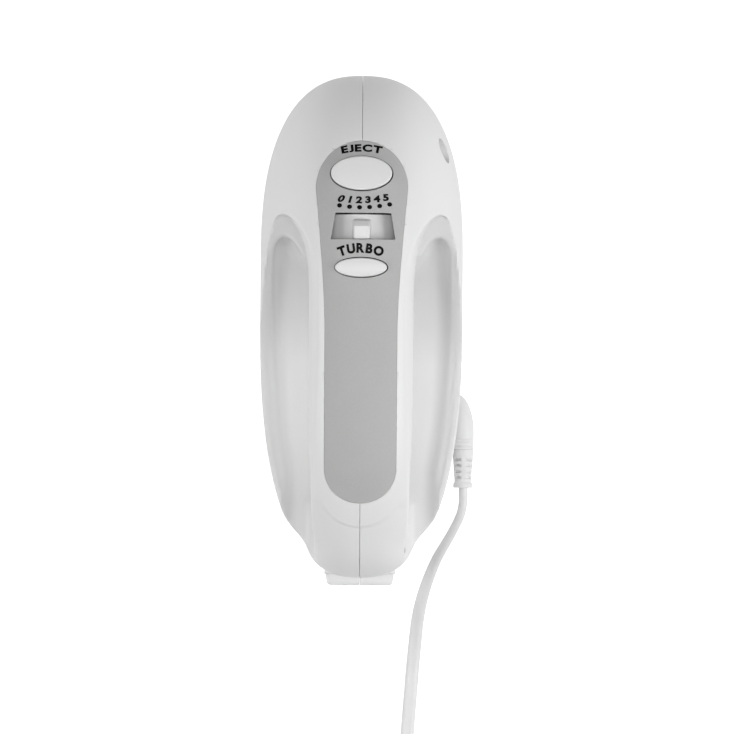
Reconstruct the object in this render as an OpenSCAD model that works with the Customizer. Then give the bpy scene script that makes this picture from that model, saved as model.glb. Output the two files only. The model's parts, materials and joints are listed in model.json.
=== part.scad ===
/* [Body] */
// Distance from the crown of the handle to the tip of the nose
nose_reach = 79; // [76:1:82]
// Greatest width of the lower body
body_width = 77.6; // [76:0.2:80]
// Height of the handle's crown above the base
crown_z = 132; // [130:1:134]
// Wall thickness of the two housing halves
wall = 2.8; // [2.4:0.1:3]
// Thickness of the grey insert
insert_t = 1.6; // [1.4:0.1:1.8]
// How far the heel block reaches behind the pillar
heel_reach = 4.5; // [4:0.5:7]

/* [Finger gap] */
// Height of the lower body's deck beside the handle
deck_z = 64; // [62:1:66]
// Greatest half width of the handle
handle_hw = 19.5; // [19:0.1:20]
// Width of the raised rim outside the deck
rim_w = 4.9; // [4.6:0.1:5.2]

/* [Controls] */
// Length of the oval eject button across the handle
eject_w = 23.3; // [22:0.1:24]
// Width of the oval eject button along the handle
eject_l = 12.9; // [12:0.1:13.5]
// Length of the oval turbo button across the handle
turbo_w = 19.7; // [18:0.1:20]
// Width of the oval turbo button along the handle
turbo_l = 7.2; // [6.5:0.1:7.5]

/* [Drive] */
// Height of the motor axis above the base
motor_z = 33; // [32:0.5:34]
// Place of both spindles along the body
spindle_y = 58; // [57:0.5:59]
// Radius of the sockets that take the beater shafts
socket_r = 3.05; // [3:0.05:3.2]

/* [Cord] */
// Width of the flat two-core cord
cord_w = 5.4; // [5:0.1:6]
// Thickness of the flat two-core cord
cord_t = 3.4; // [3:0.1:3.8]
// Middle radius of the coiled part
coil_r = 29.7; // [28:0.1:31]

/* [Hidden] */
$fn = 48;
fit = 0.05;
hw = body_width / 2;
widest_z = 65;
crown_y = 20;
nose_y = crown_y + nose_reach;
tail_y = -93;
heel_y = tail_y - heel_reach;
mid_y = (nose_y + tail_y) / 2;
half_l = (nose_y - tail_y) / 2;
tip_trim = 0.05;
base_drop = 2;
far = 200;

front_y = 36;
arch_y = 10;
arch_x = 29;
scoop_end_y = -77;
handle_rear_hw = 17.9;
gap_hw = 30;

eject_y = 58.4;
eject_tilt = 14;
turbo_y = 23.9;
window_y = 39;
window_shift = 0.55;
button_gap = 0.5;
selector_z = 106.5;
shield_r = 20.6;
knob_r = 25.6;

shaft_r = 2.5;
worm_pitch_r = 5;
worm_lead = 2 * PI;
gear_teeth = 26;
gear_pitch_r = gear_teeth / 2;
spindle_x = gear_pitch_r + worm_pitch_r;
gear_w = 10;
spindle_r = 5.5;
spindle_neck_r = 4;
spindle_low_z = 1.5;
spindle_top_z = 58;
ejector_bore_r = 2.4;
frame_low_z = 10;
frame_top_z = 50;
plate_t = 4;

screw_spots = [[69, 93], [87, 20], [-78, 86], [-76, 14]];
recess_r = 4.6;
outlet_x = 40.5;
outlet_r = 4;
outlet_front_y = -24;
outlet_rear_y = -44;
relief_end_y = -60;

cord_route = [
    [40.5, -60, 33], [40.5, -65, 33], [39.6, -70, 32.4], [37, -76, 30.4], [33.8, -82, 27.5],
    [30.6, -88, 23.5], [27.8, -95, 19], [25.6, -102, 14.5], [24, -109, 10.5], [23, -116, 7],
    [22.3, -124, 4], [21.6, -132, 2.3], [21, -140, 1.7], [20.4, -148, 1.7], [19.8, -156, 1.7],
    [19.3, -164, 1.8], [19.1, -172, 2], [19, -180, 2.2], [19, -187, 2.2]
];
coil_spot = [-16.1, -202, 0];
coil_layers = 2;
coil_turns = 3;
tie_t = 0.5;
plug_spot = [-38, -237.1, 0];
blade_root = -24;
tail_route = [[-16.1, -237.1, 5.9], [-27, -237.1, 5.9], [-38, -237.1, 5.9]];

// ---- Outline of the body ----

function power_arc(t, n, m) = pow(max(0, 1 - pow(abs(t), n)), 1 / m);

function half_width(y) =
    y > 29 ? hw * power_arc((y - 29) / (nose_y - 29 + tip_trim), 2.5, 2.5)
    : y < 5 ? hw * power_arc((5 - y) / (5 - tail_y + tip_trim), 2.5, 2.5) - 2.6 * exp(-pow((y + 79.5) / 6, 2))
    : hw;

function top_z(y) =
    widest_z + (crown_z - widest_z) * (y > crown_y
        ? power_arc((y - crown_y) / (nose_reach + tip_trim), 2.6, 2.2)
        : power_arc((crown_y - y) / (crown_y - tail_y + tip_trim), 3.2, 2.4));

function low_z(y) =
    widest_z - (widest_z + base_drop) * (y > 55
        ? power_arc((y - 55) / (nose_y - 55 + tip_trim), 3.5, 2.4)
        : y < -60 ? power_arc((y + 60) / (tail_y + 60 - tip_trim), 4, 2.4) : 1);

function section_point(y, a) =
    let (
        up = sin(a) >= 0,
        z = up
            ? widest_z + (top_z(y) - widest_z) * abs(sin(a))
            : widest_z - (widest_z - low_z(y)) * pow(abs(sin(a)), 2 / 5),
        waist = up ? 1 : 1 - 0.06 * (widest_z - z) / widest_z
    )
    [half_width(y) * sign(cos(a)) * pow(abs(cos(a)), 2 / (up ? 2.4 : 4)) * waist, y, z];

// Closed surface through rings of points, with a flat face on its first and last ring
module loft(rings) {
    n = len(rings[0]);
    last = len(rings) - 1;
    polyhedron(
        points = [for (ring = rings) each ring],
        faces = [
            for (i = [0:last - 1], j = [0:n - 1])
                each let (k = (j + 1) % n) [
                    [i * n + j, i * n + k, (i + 1) * n + k],
                    [i * n + j, (i + 1) * n + k, (i + 1) * n + j]
                ],
            [for (j = [n - 1:-1:0]) j],
            [for (j = [0:n - 1]) last * n + j]
        ]
    );
}

function stations(count) = [for (i = [0:count]) mid_y + half_l * sin(180 * i / count - 90)];

// Seen from above
module plan_outline() {
    ys = stations(14);
    polygon([
        for (y = ys) [half_width(y), y],
        for (i = [len(ys) - 1:-1:0]) [-half_width(ys[i]), ys[i]]
    ]);
}

// Seen from the right, as (y, z)
module side_outline() {
    ys = stations(16);
    polygon([
        for (y = ys) [y, max(0, low_z(y))],
        for (i = [len(ys) - 1:-1:0]) [ys[i], top_z(ys[i])]
    ]);
}

// Seen from the rear at the widest place, as (x, z)
module front_outline() {
    polygon([
        for (a = [0:15:345])
            let (p = section_point(crown_y, a))
            [p[0], max(0, p[2])]
    ]);
}

// The outer form without its openings, with its surface moved in by inset
module blank(inset = 0) {
    intersection() {
        translate([0, 0, -far]) linear_extrude(2 * far) offset(delta = -inset) plan_outline();
        across(far) offset(delta = -inset) side_outline();
        rotate([90, 0, 0]) linear_extrude(2 * far, center = true) offset(delta = -inset) front_outline();
    }
}

// Plan of the deck on the right of the handle
module deck_plan() {
    polygon([
        for (y = [scoop_end_y:12:arch_y - 1]) [half_width(y) - rim_w, y],
        for (a = [0:18:90]) [
            arch_x + (hw - rim_w - arch_x) * cos(a),
            arch_y + (front_y - arch_y) * sin(a)
        ],
        for (a = [108:18:180]) [
            arch_x + (arch_x - handle_hw) * cos(a),
            arch_y + (front_y - arch_y) * sin(a)
        ],
        [handle_rear_hw, scoop_end_y]
    ]);
}

// Side view of what is open above the rim, from the nose's flank to the pillar
module sweep_side() {
    polygon([
        [60, far], [52, 125], [44, 105], [35, 97], [25, 88.5], [13, 79], [0, 70], [-6, 67],
        [-72, 67], [-76, 71], [-80, 84], [-86, 110], [-90, far]
    ]);
}

// Plan of the space beside the handle, out past the rim
module beside_plan() {
    polygon([
        [arch_x, 60], [60, 60], [60, -100], [handle_rear_hw, -100], [handle_rear_hw, scoop_end_y],
        [handle_hw, arch_y], [arch_x, arch_y]
    ]);
}

// Side view of the gap under the handle
module gap_side() {
    round_r = 12;
    offset(r = round_r, $fn = 20) offset(delta = -round_r)
        polygon([[-65, deck_z], [-20, deck_z], [30, deck_z + 13], [30, 99], [-65, 93]]);
}

// Side view of what is open above the deck, which rises towards the nose
module deck_side() {
    polygon([[-100, far], [-100, deck_z], [-20, deck_z], [40, deck_z + 16], [40, far]]);
}

// Turns a drawing of (y, z) into a wall across the body
module across(width) {
    rotate([90, 0, 90]) linear_extrude(width, center = true) children();
}

module both_sides() {
    children();
    mirror([1, 0, 0]) children();
}

module open_space(inset) {
    across(2 * gap_hw) offset(delta = inset) gap_side();
    both_sides() {
        intersection() {
            translate([0, 0, deck_z - 10]) linear_extrude(far) offset(delta = inset) deck_plan();
            across(far) offset(delta = inset) deck_side();
        }
        intersection() {
            translate([0, 0, deck_z - 10]) linear_extrude(far) offset(delta = inset) beside_plan();
            across(far) offset(delta = inset) sweep_side();
        }
    }
}

module body_form(inset = 0) {
    difference() {
        blank(inset);
        open_space(inset);
    }
}

module heel_block() {
    translate([0, 0, 6]) linear_extrude(40)
        polygon([
            [-14.5, tail_y + 8], [14.5, tail_y + 8], [12.7, heel_y + 1.5], [11.2, heel_y],
            [-11.2, heel_y], [-12.7, heel_y + 1.5]
        ]);
}

// ---- Insert and openings in the handle's top ----

module insert_plan() {
    front_hw = 16.85;
    rear_hw = 13.2;
    polygon([
        for (a = [0:15:180]) [front_hw * cos(a), 53 + 17.7 * sin(a)],
        for (y = [44, 30, 16, 2]) [-rear_hw - (front_hw - rear_hw) * pow((y - 2) / 51, 1.4), y],
        for (a = [180:15:360]) [rear_hw * cos(a), -50 + 12.6 * sin(a)],
        for (y = [2, 16, 30, 44]) [rear_hw + (front_hw - rear_hw) * pow((y - 2) / 51, 1.4), y]
    ]);
}

module insert_recess() {
    difference() {
        translate([0, 0, 100]) linear_extrude(far) insert_plan();
        blank(insert_t);
    }
}

module oval(width, length) {
    polygon([for (a = [0:18:342]) [width / 2 * cos(a), length / 2 * sin(a)]]);
}

module window_plan() {
    front_hw = 10.2;
    rear_hw = 11.8;
    half = 4.85;
    translate([window_shift, window_y])
        polygon([[-rear_hw, -half], [rear_hw, -half], [front_hw, half], [-front_hw, half]]);
}

module control_holes() {
    translate([0, 0, 110]) linear_extrude(far) {
        translate([0, eject_y]) oval(eject_w + 2 * button_gap, eject_l + 2 * button_gap);
        translate([0, turbo_y]) oval(turbo_w + 2 * button_gap, turbo_l + 2 * button_gap);
        window_plan();
    }
}

// ---- Housing halves ----

module along_x(y, z) {
    translate([0, y, z]) rotate([0, 90, 0]) children();
}

module screw_bosses() {
    intersection() {
        body_form(1);
        for (s = screw_spots) along_x(s[0], s[1]) cylinder(r = recess_r + 1.6, h = far, center = true, $fn = 8);
    }
}

module cradle_ribs() {
    for (y = [-24, -6]) translate([-20, y, 1]) cube([40, 2.5, motor_z - 22 - 1]);
    for (y = [31, 78]) translate([-12, y, 1]) cube([24, 3, frame_low_z - 1]);
}

module clamp_ledge() {
    translate([25.5, -48, 20]) cube([9, 14, 8]);
}

module vents() {
    both_sides()
        for (i = [0:4]) translate([7, -60 + 6 * i, -1]) cube([14, 2.4, wall + 2]);
}

module screw_holes() {
    for (s = screw_spots) {
        along_x(s[0], s[1]) translate([0, 0, -14]) cylinder(r = 1.7, h = 30);
        along_x(s[0], s[1]) translate([0, 0, 8]) cylinder(r = recess_r, h = far);
    }
}

module outlet_plug(grow = 0) {
    translate([32.5, outlet_rear_y - grow, motor_z - outlet_r - grow])
        cube([outlet_x - 32.5, outlet_front_y - outlet_rear_y + 2 * grow, 2 * (outlet_r + grow)]);
}

module housing() {
    difference() {
        union() {
            difference() {
                union() {
                    body_form();
                    heel_block();
                }
                body_form(wall);
            }
            screw_bosses();
            cradle_ribs();
            clamp_ledge();
        }
        insert_recess();
        control_holes();
        screw_holes();
        vents();
        outlet_plug();
        both_sides() translate([spindle_x, spindle_y, -1]) cylinder(r = 8.4, h = 12, $fn = 16);
    }
}

// Keeps the side of the housing that faces along x
module half_shell(side) {
    intersection() {
        housing();
        translate([side > 0 ? 0 : -far, -far, -far]) cube([far, 2 * far, 2 * far]);
    }
}

module housing_left() {
    color("white") half_shell(-1);
}

module housing_right() {
    color("white") half_shell(1);
}

module top_panel() {
    color("lightgray") difference() {
        intersection() {
            blank();
            insert_recess();
        }
        control_holes();
    }
}

module screw(head_r, head_h, shank_r, shank_l) {
    cylinder(r = shank_r, h = shank_l + 0.1);
    translate([0, 0, shank_l]) cylinder(r = head_r, h = head_h);
}

module housing_screws() {
    color("silver")
        for (s = screw_spots) along_x(s[0], s[1]) translate([0, 0, -13]) difference() {
            screw(3.5, 2.2, 1.6, 21);
            translate([0, 0, 22.2]) linear_extrude(2) {
                square([0.9, 4], center = true);
                square([4, 0.9], center = true);
            }
        }
}

// ---- Motor ----

module on_motor_axis(y) {
    translate([0, y, motor_z]) rotate([-90, 0, 0]) children();
}

module tube(outer_r, inner_r, length) {
    difference() {
        cylinder(r = outer_r, h = length);
        translate([0, 0, -1]) cylinder(r = inner_r, h = length + 2);
    }
}

module motor_shaft() {
    color("silver") on_motor_axis(-69) cylinder(r = shaft_r, h = 152);
}

module armature_core() {
    color("dimgray") on_motor_axis(-30) linear_extrude(30) difference() {
        circle(r = 15);
        circle(r = shaft_r);
        for (a = [0:30:330]) rotate(a) translate([8.5, -1]) square([7.5, 2]);
    }
}

module armature_windings() {
    color("peru") for (y = [-37, 0]) on_motor_axis(y) rotate_extrude()
        polygon([[5.5, 0], [12, 0], [13.6, 2], [13.6, 5.5], [12, 7], [5.5, 7]]);
}

module commutator() {
    color("peru") on_motor_axis(-52) linear_extrude(13) difference() {
        circle(r = 10);
        circle(r = shaft_r);
        for (a = [0:15:345]) rotate(a) translate([9, -0.25]) square([2, 0.5]);
    }
}

module cooling_fan() {
    color("dimgray") on_motor_axis(12) difference() {
        union() {
            cylinder(r = 22, h = 1.6);
            cylinder(r = 6, h = 10);
            for (a = [0:30:330]) rotate(a) translate([5.5, -0.7, 1]) cube([16, 1.4, 8.5]);
        }
        translate([0, 0, -1]) cylinder(r = shaft_r, h = 14);
    }
}

module stator_window(angle, inner_r, outer_r) {
    rotate(-angle) rotate_extrude(angle = 2 * angle)
        translate([inner_r, -1]) square([outer_r - inner_r, 60]);
}

module stator_core() {
    screw_hole_r = 1.7;
    color("gray") on_motor_axis(-30) difference() {
        translate([-25, -22, 0]) cube([50, 44, 30]);
        translate([0, 0, -1]) cylinder(r = 15.8, h = 32);
        for (a = [0, 180]) rotate(a) stator_window(56, 15, 20.2);
        for (x = [-21, 21], z = [-18, 18])
            translate([x, z, -1]) cylinder(r = screw_hole_r, h = 32);
    }
}

module field_coils() {
    color("peru") on_motor_axis(-37) intersection() {
        for (a = [0, 180]) rotate(a) stator_window(54, 16.2, 19.8);
        cylinder(r = 40, h = 44);
    }
}

module front_bearing() {
    color("goldenrod") on_motor_axis(31) tube(5, shaft_r + fit, 6);
}

module rear_bearing() {
    color("goldenrod") on_motor_axis(-67) tube(5, shaft_r + fit, 6);
}

module motor_bracket() {
    color("dimgray") on_motor_axis(-67) difference() {
        union() {
            cylinder(r = 8, h = 6);
            translate([-25, -6, 0]) cube([50, 12, 4]);
            for (side = [-1, 1]) {
                translate([side * 23 - 2, -6, 0]) cube([4, 12, 37]);
                for (z = [-1, 1])
                    hull() {
                        translate([side * 21, z * 18, 33]) cylinder(r = 3.5, h = 4);
                        translate([side * 22.5, z * 4, 33]) cylinder(r = 2.5, h = 4);
                    }
            }
        }
        translate([0, 0, -1]) cylinder(r = 5, h = 8);
        for (x = [-21, 21], z = [-18, 18]) translate([x, z, 30]) cylinder(r = 1.7, h = 10);
    }
}

module motor_screws() {
    color("silver") for (x = [-21, 21], z = [-18, 18])
        translate([x, -34, motor_z + z]) rotate([90, 0, 0]) translate([0, 0, -32]) screw(3, 2, 1.6, 32);
}

module brush_spots() {
    for (a = [0, 180]) translate([0, -45.5, motor_z]) rotate([0, a, 0]) children();
}

module brush_holders() {
    color("goldenrod") brush_spots() difference() {
        translate([11.5, -3.5, -4]) cube([9.5, 7, 8]);
        translate([11, -2.5, -3]) cube([9, 5, 6]);
    }
}

module carbon_brushes() {
    color("black") brush_spots() translate([10.1, -2.45, -2.95]) cube([6, 4.9, 5.9]);
}

// Wire spring standing along +Z from the level of its origin
module coil_spring(radius, wire, length, turns) {
    steps = 12 * turns;
    loft([
        for (i = [0:steps])
            let (around = 30 * i, z = wire / 2 + (length - wire) * i / steps)
            [
                for (k = [0:5])
                    let (r = radius + wire / 2 * cos(60 * k))
                    [r * cos(around), r * sin(around), z + wire / 2 * sin(60 * k)]
            ]
    ]);
}

module brush_springs() {
    color("silver") brush_spots() translate([16.15, 0, 0]) rotate([0, 90, 0])
        coil_spring(1.6, 0.7, 3.7, 3);
}

// ---- Worm drive ----

// Radius of the two-start worm at an angle from its thread's crest
function worm_radius(a) = 3.9 + 2.1 * max(0, min(1, (abs(cos(a)) - 0.62) / 0.3));

module worm() {
    length = 21;
    step = 18;
    steps = ceil(180 * length / worm_lead / step);
    color("goldenrod") on_motor_axis(spindle_y) difference() {
        loft([
            for (i = [-steps:steps])
                let (z = length / 2 * i / steps)
                [
                    for (a = [360 - step:-step:0])
                        worm_radius(a) * [cos(a - 360 * z / worm_lead), sin(a - 360 * z / worm_lead), 0]
                            + [0, 0, z]
                ]
        ]);
        cylinder(r = shaft_r, h = 2 * length, center = true);
    }
}

function tooth_ring(teeth, root_r, tip_r) = [
    for (i = [0:teeth - 1], k = [0:3])
        let (
            share = [-0.36, -0.11, 0.11, 0.36][k],
            a = 360 * (i + share) / teeth
        )
        (k == 0 || k == 3 ? root_r : tip_r) * [cos(a), sin(a)]
];

module gear(side) {
    helix = 360 / (2 * PI) * gear_w / (5 * gear_pitch_r);
    color("ivory") translate([side * spindle_x, spindle_y, motor_z - gear_w / 2]) difference() {
        rotate(180 / gear_teeth + helix / 2)
            linear_extrude(gear_w, twist = helix, slices = 4)
                polygon(tooth_ring(gear_teeth, gear_pitch_r - 1.25, gear_pitch_r + 0.9));
        translate([0, 0, -1]) cylinder(r = spindle_r, h = gear_w + 2);
    }
}

module gear_left() {
    gear(-1);
}

module gear_right() {
    gear(1);
}

module spindle(side) {
    collar_z = motor_z - gear_w / 2;
    color("silver") translate([side * spindle_x, spindle_y, 0]) difference() {
        union() {
            translate([0, 0, spindle_low_z]) cylinder(r = spindle_r, h = collar_z + gear_w - spindle_low_z);
            translate([0, 0, collar_z - 1.5]) cylinder(r = 7.5, h = 1.5);
            translate([0, 0, collar_z]) cylinder(r = spindle_neck_r, h = spindle_top_z - collar_z);
        }
        cylinder(r = socket_r, h = 34);
        translate([0, 0, 33]) cylinder(r = ejector_bore_r, h = 40);
    }
}

module spindle_left() {
    spindle(-1);
}

module spindle_right() {
    spindle(1);
}

module spindle_clip(side) {
    color("silver") translate([side * spindle_x, spindle_y, 56.6]) difference() {
        tube(6.2, spindle_neck_r, 0.8);
        translate([-1.5, -8, -1]) cube([3, 8, 3]);
    }
}

module spindle_clip_left() {
    spindle_clip(-1);
}

module spindle_clip_right() {
    spindle_clip(1);
}

module spindle_bushes() {
    color("goldenrod") both_sides() translate([spindle_x, spindle_y, 0]) {
        translate([0, 0, frame_low_z - 2]) tube(8, spindle_r + fit, 8);
        translate([0, 0, frame_top_z - 2]) tube(7, spindle_neck_r + fit, 8);
    }
}

module gearbox_plate(hole_r) {
    difference() {
        union() {
            translate([-29, spindle_y - 11]) square([58, 22]);
            translate([-14, 31]) square([28, 51]);
        }
        for (x = [-spindle_x, spindle_x]) translate([x, spindle_y]) circle(r = hole_r);
    }
}

gearbox_screw_spots = [[-11, 33.5], [11, 33.5], [-10, 79.5], [10, 79.5]];

module gearbox_frame() {
    color("gainsboro") difference() {
        union() {
            translate([0, 0, frame_low_z]) linear_extrude(plate_t) gearbox_plate(8);
            for (y = [31, 77]) translate([-14, y, frame_low_z]) cube([28, 5, frame_top_z - frame_low_z]);
            translate([-24, 31, 12]) cube([48, 3, 42]);
        }
        on_motor_axis(25) cylinder(r = 5, h = 14);
        on_motor_axis(70) cylinder(r = shaft_r + fit, h = 20);
        for (s = gearbox_screw_spots) translate([s[0], s[1], frame_top_z - 10]) cylinder(r = 1.2, h = 20);
        translate([-14, 31, frame_top_z]) cube([28, 5, 10]);
        translate([-14, 80.4, 12.5]) cube([28, 5, 15]);
    }
}

module gearbox_cover() {
    color("gainsboro") translate([0, 0, frame_top_z]) difference() {
        linear_extrude(plate_t) gearbox_plate(7);
        for (s = gearbox_screw_spots) translate([s[0], s[1], -1]) cylinder(r = 1.3, h = 10);
    }
}

module gearbox_screws() {
    color("silver") for (s = gearbox_screw_spots)
        translate([s[0], s[1], frame_top_z - 9]) screw(2.5, 1.6, 1.2, plate_t + 9);
}

// ---- Ejector ----

module eject_button() {
    top = 129.6;
    color("white") translate([0, eject_y, 0]) difference() {
        translate([0, 0, 112]) linear_extrude(far) oval(eject_w, eject_l);
        translate([0, 0, top]) rotate([-eject_tilt, 0, 0]) translate([-far / 2, -far / 2, 0]) cube(far);
        translate([0, 0, 111]) linear_extrude(13) oval(eject_w - 4, eject_l - 4);
    }
}

module ejector_yoke() {
    color("gainsboro") {
        translate([-21, spindle_y - 4, 66]) cube([42, 8, 5]);
        translate([-4, spindle_y - 3, 71]) cube([8, 6, 124 - 71]);
        both_sides() translate([spindle_x, spindle_y, 40]) cylinder(r = 2, h = 26);
    }
}

module eject_spring() {
    color("silver") translate([0, spindle_y, frame_top_z + plate_t]) coil_spring(5, 0.9, 12, 5);
}

// ---- Speed selector ----

module on_selector_axis(y) {
    translate([0, y, selector_z]) rotate([-90, 0, 0]) children();
}

module sector(inner_r, outer_r, angle, length) {
    rotate(-90 - angle) rotate_extrude(angle = 2 * angle)
        translate([inner_r, 0]) square([outer_r - inner_r, length]);
}

module speed_selector() {
    depth = 11.6;
    front = window_y - depth / 2;
    color("whitesmoke") {
        on_selector_axis(front) sector(shield_r - 1.6, shield_r, 50, depth);
        for (y = [front + 1, front + depth - 3]) on_selector_axis(y) sector(3, shield_r - 0.8, 12, 2);
        on_selector_axis(front) cylinder(r = 4, h = depth);
        on_selector_axis(front - 2) cylinder(r = 2, h = depth + 7);
        on_selector_axis(window_y - 4.6) sector(shield_r - 1, knob_r, 7.2, 7.3);
    }
}

module speed_switch() {
    color("dimgray") difference() {
        translate([-12, 45.2, 97]) cube([24, 6, 16]);
        on_selector_axis(40) cylinder(r = 2 + fit, h = 20);
    }
}

// ---- Turbo ----

module turbo_button() {
    top = crown_z + 0.9;
    color("white") translate([0, turbo_y, 0]) {
        translate([0, 0, 125.6]) linear_extrude(top - 0.8 - 125.6) oval(turbo_w, turbo_l);
        translate([0, 0, top - 0.81]) linear_extrude(0.81) oval(turbo_w - 1.2, turbo_l - 1.2);
        translate([0, 0, 124]) linear_extrude(2) oval(turbo_w + 2.4, turbo_l + 2.4);
        translate([0, 0, 118.4]) cylinder(r = 1.8, h = 7);
    }
}

module turbo_switch() {
    color("dimgray") translate([-7, turbo_y - 5, 104]) cube([14, 10, 11.5]);
}

module turbo_spring() {
    color("silver") translate([0, turbo_y, 115.5]) coil_spring(3, 0.7, 8.5, 4);
}

// ---- Electrics ----

module circuit_board() {
    color("darkgreen") {
        translate([-11, -48, 104]) cube([22, 56, 1.6]);
        translate([-6, -40, 105.59]) cube([12, 3, 11]);
        for (y = [-28, -10]) translate([-4, y, 105.59]) cylinder(r = 3.5, h = 8);
    }
}

module suppressor_capacitor() {
    color("gold") translate([-7, -80, 24]) cube([14, 8, 16]);
}

module cord_clamp() {
    color("dimgray") difference() {
        translate([26, -47, 28]) cube([6.2, 12, 9]);
        for (y = [-44.5, -37.5]) translate([29.5, y, 20]) cylinder(r = 1.2, h = 20);
    }
}

module clamp_screws() {
    color("silver") for (y = [-44.5, -37.5])
        translate([29.5, y, 28]) screw(2.2, 1.5, 1.2, 9);
}

// ---- Cord ----

module cord_outlet() {
    groove = 0.5;
    color("white") difference() {
        union() {
            translate([outlet_x, outlet_front_y, motor_z]) rotate([90, 0, 0])
                cylinder(r = outlet_r, h = outlet_front_y - outlet_rear_y);
            outlet_plug();
        }
        translate([outlet_x, outlet_front_y - 14, motor_z]) rotate([90, 0, 0])
            cylinder(r = 3, h = 10);
        for (y = [-38, -41]) translate([outlet_x, y, motor_z]) rotate([90, 0, 0]) difference() {
            cylinder(r = outlet_r + 1, h = 0.9);
            translate([0, 0, -1]) cylinder(r = outlet_r - groove, h = 3);
            translate([-far - 1, -far / 2, -1]) cube([far, far, 3]);
        }
    }
}

module strain_relief() {
    start = outlet_front_y - 14;
    color("white") translate([outlet_x, start, motor_z]) rotate([90, 0, 0]) rotate_extrude()
        polygon([
            [0, 0], [3, 0], [3, 6.2], [4, 6.2], [3.9, 16], [3.6, 20], [3.8, 21], [3.8, 22], [0, 22]
        ]);
}

function direction(path, i) =
    let (
        a = path[max(0, i - 1)],
        b = path[min(len(path) - 1, i + 1)]
    )
    (b - a) / norm(b - a);

// Flat tube along a path, its width kept level
module flat_tube(path, width, thickness) {
    sides = 8;
    loft([
        for (i = [0:len(path) - 1])
            let (
                d = direction(path, i),
                level = [-d[1], d[0], 0] / norm([d[0], d[1]]),
                up = cross(d, level)
            )
            [
                for (k = [sides - 1:-1:0])
                    let (a = 360 * (k + 0.5) / sides)
                    path[i] + width / 2 / cos(22.5) * cos(a) * level
                        + thickness / 2 / cos(22.5) * sin(a) * up
            ]
    ]);
}

module cord() {
    color("white") flat_tube(cord_route, cord_w, cord_t);
}

// Section of the coil, which rests on its tie
module coil_section(grow = 0) {
    band = coil_turns * cord_w + 2 * grow;
    translate([coil_r - band / 2, tie_t - grow])
        square([band, coil_layers * (cord_t + 0.3) + 2 * grow]);
}

module cord_coil() {
    color("white") translate(coil_spot) rotate_extrude() coil_section();
}

module cord_tie() {
    color("white") translate(coil_spot) rotate(60) rotate_extrude(angle = 12) difference() {
        coil_section(tie_t);
        coil_section();
    }
}

// The end of the lead, from the coil to the plug
module cord_tail() {
    color("white") flat_tube(tail_route, cord_w, cord_t);
}

// Flat two-blade plug lying on its wide side, its blades towards -X
module plug_body() {
    thickness = 12;
    color("white") translate(plug_spot) difference() {
        linear_extrude(thickness) polygon([
            [0, 3.6], [-12, 6], [-16, 11], [-18, 12], [-30, 12], [-31, 11], [-31, -11], [-30, -12],
            [-18, -12], [-16, -11], [-12, -6], [0, -3.6]
        ]);
        plug_blades(blade_root);
    }
}

// A pair of blades, whose roots start at x = from
module plug_blades(from) {
    for (y = [-1, 1]) translate([-48, y * 6.35 - 0.75, 6 - 3.2]) cube([48 + from, 1.5, 6.4]);
}

module plug_pins() {
    color("silver") translate(plug_spot) plug_blades(blade_root);
}

housing_left();
housing_right();
top_panel();
housing_screws();
gearbox_frame();
gearbox_cover();
gearbox_screws();
spindle_bushes();
stator_core();
field_coils();
front_bearing();
rear_bearing();
motor_bracket();
motor_screws();
brush_holders();
carbon_brushes();
brush_springs();
speed_switch();
turbo_switch();
circuit_board();
suppressor_capacitor();
cord_clamp();
clamp_screws();
motor_shaft();
armature_core();
armature_windings();
commutator();
cooling_fan();
worm();
gear_left();
gear_right();
spindle_left();
spindle_right();
spindle_clip_left();
spindle_clip_right();
eject_button();
ejector_yoke();
eject_spring();
speed_selector();
turbo_button();
turbo_spring();
cord_outlet();
strain_relief();
cord();
cord_coil();
cord_tail();
cord_tie();
plug_body();
plug_pins();
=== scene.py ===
import json
import math

import bpy
import numpy as np
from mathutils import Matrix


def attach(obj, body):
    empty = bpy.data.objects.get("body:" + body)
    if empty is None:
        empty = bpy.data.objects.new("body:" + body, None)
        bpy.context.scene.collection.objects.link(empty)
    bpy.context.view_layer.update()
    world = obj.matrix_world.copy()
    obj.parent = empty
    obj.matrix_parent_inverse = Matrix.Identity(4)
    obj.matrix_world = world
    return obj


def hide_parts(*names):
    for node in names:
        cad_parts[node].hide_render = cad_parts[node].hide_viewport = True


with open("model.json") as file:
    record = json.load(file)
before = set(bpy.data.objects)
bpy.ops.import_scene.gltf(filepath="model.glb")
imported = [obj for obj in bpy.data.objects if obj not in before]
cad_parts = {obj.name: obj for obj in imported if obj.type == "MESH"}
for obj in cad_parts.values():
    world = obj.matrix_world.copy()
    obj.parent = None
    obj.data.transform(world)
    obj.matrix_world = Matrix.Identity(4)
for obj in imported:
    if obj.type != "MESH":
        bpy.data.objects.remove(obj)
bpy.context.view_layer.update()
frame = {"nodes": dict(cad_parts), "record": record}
MM = 0.001
FAR = 300.0

# The body's driving dimensions, in millimetres in the frame's own axes
HALF_W = 38.8
WIDEST_Z = 65.0
CROWN_Z = 132.0
CROWN_Y = 20.0
NOSE_REACH = 79.05
TAIL_REACH = 113.05
DECK_Z = 64.0
RIM_Z = 67.0
RIM_W = 4.9
WALL = 2.8
INSERT_T = 1.6
HEEL_Y = -97.5
GAP_REAR = -65
GAP_FRONT = 30
GAP_CORNER = 12
EJECT_Y = 58.4
EJECT_HOLE = (11.6, 6.62)
EJECT_CAP = (11.2, 6.25)
TURBO_Y = 23.9
TURBO_HOLE = (9.85, 3.86)
TURBO_CAP = (9.5, 3.5)
WINDOW_Y = 39.0
WINDOW_SHIFT = 0.55
SELECTOR_Z = 106.5
SHIELD_R = 20.6
SHIELD_DEPTH = 11.6
KNOB_R = 25.6
MOTOR_Z = 33.0
SCREWS = ((69, 93), (87, 20), (-78, 86), (-76, 14))

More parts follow.
